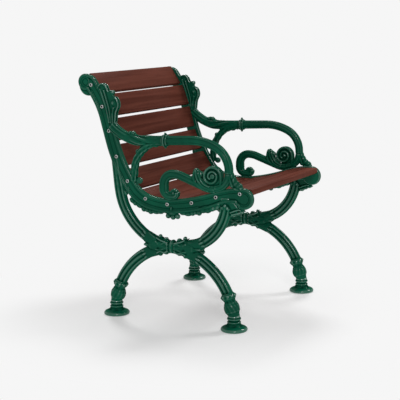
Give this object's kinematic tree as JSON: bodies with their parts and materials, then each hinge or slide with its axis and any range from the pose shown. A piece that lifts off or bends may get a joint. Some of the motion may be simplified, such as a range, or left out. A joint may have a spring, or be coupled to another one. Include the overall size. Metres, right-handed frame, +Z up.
{
  "type": "garden armchair",
  "caption": "Fixed garden armchair with slatted hardwood seat and back between two scrolled cast metal side frames with arms and crossed legs.",
  "frame": {"origin": "on the ground, under the centre of the chair's bounding box", "axes": "+Z up, -Y the way the sitter faces, +X to the sitter's left"},
  "size_m": [0.638, 0.65, 0.8178],
  "materials": {
    "frame_paint": "dark green gloss paint over a casting",
    "slat_wood": "red-brown stained hardwood, satin",
    "screw_metal": "bright zinc plate",
    "sleeve_metal": "plain turned brass"
  },
  "bodies": {
    "root": {"right_rail": "frame_paint", "right_arm": "frame_paint", "right_legs": "frame_paint", "right_front_foot": "frame_paint", "right_rear_foot": "frame_paint", "left_rail": "frame_paint", "left_arm": "frame_paint", "left_legs": "frame_paint", "left_front_foot": "frame_paint", "left_rear_foot": "frame_paint", "back_slat_1": "slat_wood", "back_slat_2": "slat_wood", "back_slat_3": "slat_wood", "back_slat_4": "slat_wood", "back_slat_5": "slat_wood", "seat_slat_1": "slat_wood", "seat_slat_2": "slat_wood", "seat_slat_3": "slat_wood", "seat_slat_4": "slat_wood", "seat_slat_5": "slat_wood", "right_slat_screws": "screw_metal", "left_slat_screws": "screw_metal", "right_slat_sleeves": "sleeve_metal", "left_slat_sleeves": "sleeve_metal"}
  },
  "joints": []
}
